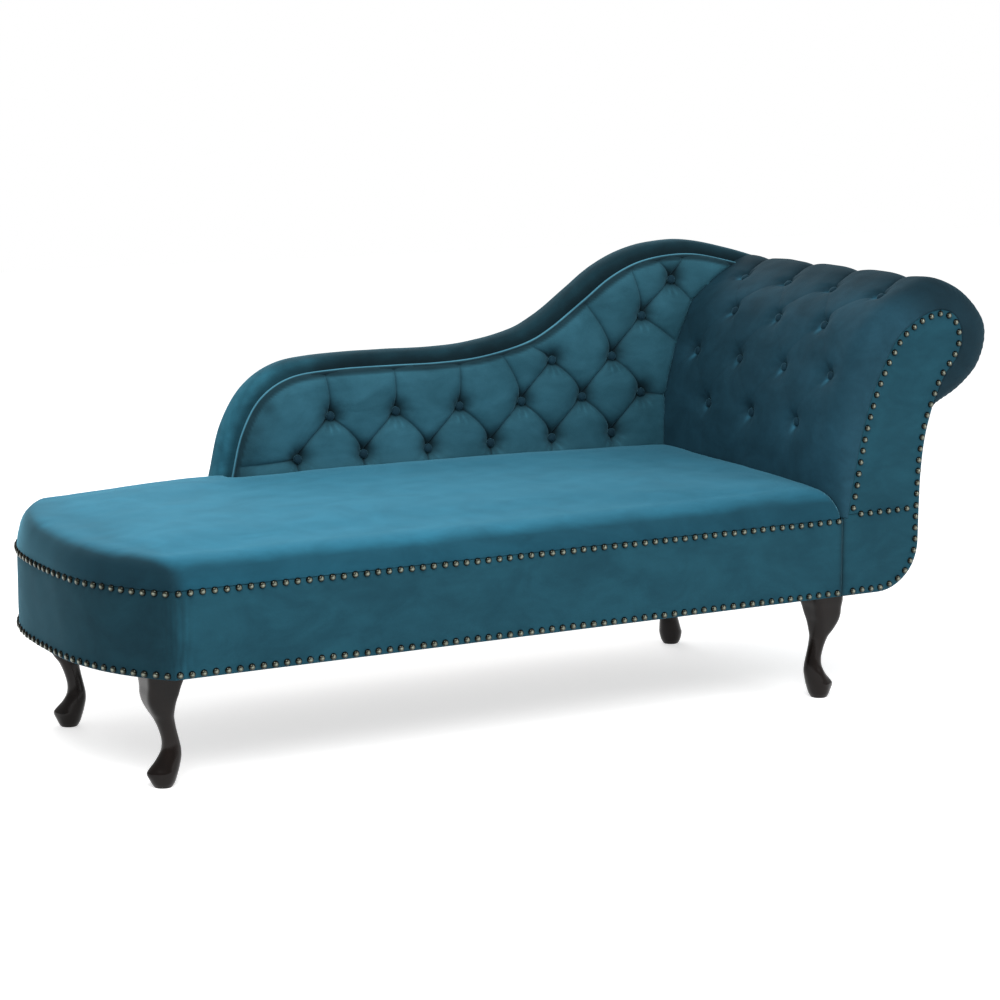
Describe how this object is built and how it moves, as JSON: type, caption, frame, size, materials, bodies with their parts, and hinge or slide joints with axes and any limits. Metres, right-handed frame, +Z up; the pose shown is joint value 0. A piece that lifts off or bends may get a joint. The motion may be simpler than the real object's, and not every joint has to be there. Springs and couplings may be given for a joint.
{
  "type": "fainting couch",
  "caption": "Fainting couch with a bowed seat, a serpentine tufted back, a scrolled tufted head arm and cabriole legs.",
  "frame": {"origin": "centre of the bounding box in plan, at floor level under the legs", "axes": "+X towards the head arm, +Y towards the back, +Z up"},
  "size_m": [1.8034, 0.6816, 0.8192],
  "materials": {
    "velvet": "teal velvet with a short nap",
    "welt": "velvet-covered cord",
    "buttons": "velvet-covered buttons on waxed thread",
    "lining_cloth": "black lining cloth and webbing",
    "foam": "upholstery foam",
    "timber": "sawn hardwood",
    "board": "thin hardboard",
    "legs": "espresso stain with a soft gloss",
    "nails": "antique bronze domed nails",
    "steel": "zinc-plated bolts"
  },
  "bodies": {
    "root": {"seat_front_rail": "timber", "seat_rear_rail": "timber", "seat_foot_end_rail": "timber", "seat_head_end_rail": "timber", "corner_block_front_foot_end": "timber", "corner_block_rear_foot_end": "timber", "corner_block_front_head_end": "timber", "corner_block_rear_head_end": "timber", "back_bolt_1": "steel", "back_bolt_2": "steel", "head_bolt_1": "steel", "head_bolt_2": "steel", "seat_webbing": "lining_cloth", "seat_dust_cloth": "lining_cloth", "seat_apron": "velvet", "seat_foam": "foam", "seat_cover": "velvet", "seat_upper_nail_trim": "nails", "seat_lower_nail_trim": "nails", "back_top_rail": "timber", "back_left_post": "timber", "back_right_post": "timber", "back_bottom_rail": "timber", "back_lining_board": "board", "back_outer_cover": "velvet", "back_foam": "foam", "back_tufted_cover": "velvet", "back_buttons_lower_row": "buttons", "back_buttons_middle_row": "buttons", "back_buttons_rise": "buttons", "back_border": "velvet", "back_welt": "welt", "head_front_board": "timber", "head_rear_board": "timber", "head_stretcher_base": "timber", "head_stretcher_side": "timber", "head_stretcher_neck": "timber", "head_stretcher_scroll": "timber", "head_lining_board": "board", "head_scroll_panel": "velvet", "head_base_panel": "velvet", "head_outer_cover": "velvet", "head_foam": "foam", "head_tufted_cover": "velvet", "head_buttons_row_1": "buttons", "head_buttons_row_2": "buttons", "head_buttons_row_3": "buttons", "head_buttons_row_4": "buttons", "head_panel_nail_trim": "nails", "head_cross_nail_trim": "nails", "leg_front_foot_end": "legs", "leg_bolt_front_foot_end": "steel", "leg_rear_foot_end": "legs", "leg_bolt_rear_foot_end": "steel", "leg_front_head_end": "legs", "leg_bolt_front_head_end": "steel", "leg_rear_head_end": "legs", "leg_bolt_rear_head_end": "steel"}
  },
  "joints": []
}
